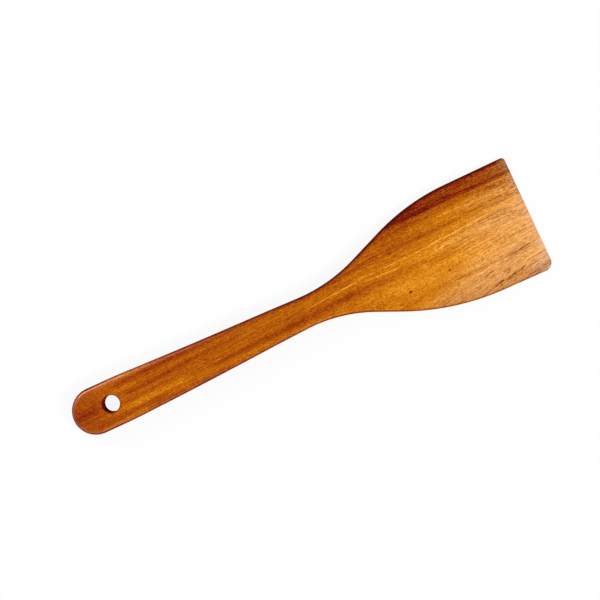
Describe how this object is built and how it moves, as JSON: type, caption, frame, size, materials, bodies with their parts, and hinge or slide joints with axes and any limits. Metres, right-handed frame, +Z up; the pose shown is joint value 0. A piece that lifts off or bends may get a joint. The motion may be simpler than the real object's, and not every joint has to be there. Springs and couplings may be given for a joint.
{
  "type": "spatula turner",
  "caption": "Flat wooden turner carved from one board: a straight handle with a round butt and a hang hole, a narrow neck, and a broad blade that thins to its front edge.",
  "frame": {"origin": "middle of the flat underside, below the centre of the bounding box; the turner lies on z = 0", "axes": "+X from the butt of the handle to the front edge of the blade, +Y to the left across the blade, +Z up out of the scooped face"},
  "size_m": [0.3, 0.073, 0.009],
  "materials": {
    "wood": "oiled, satin"
  },
  "bodies": {
    "root": {"turner": "wood"}
  },
  "joints": []
}
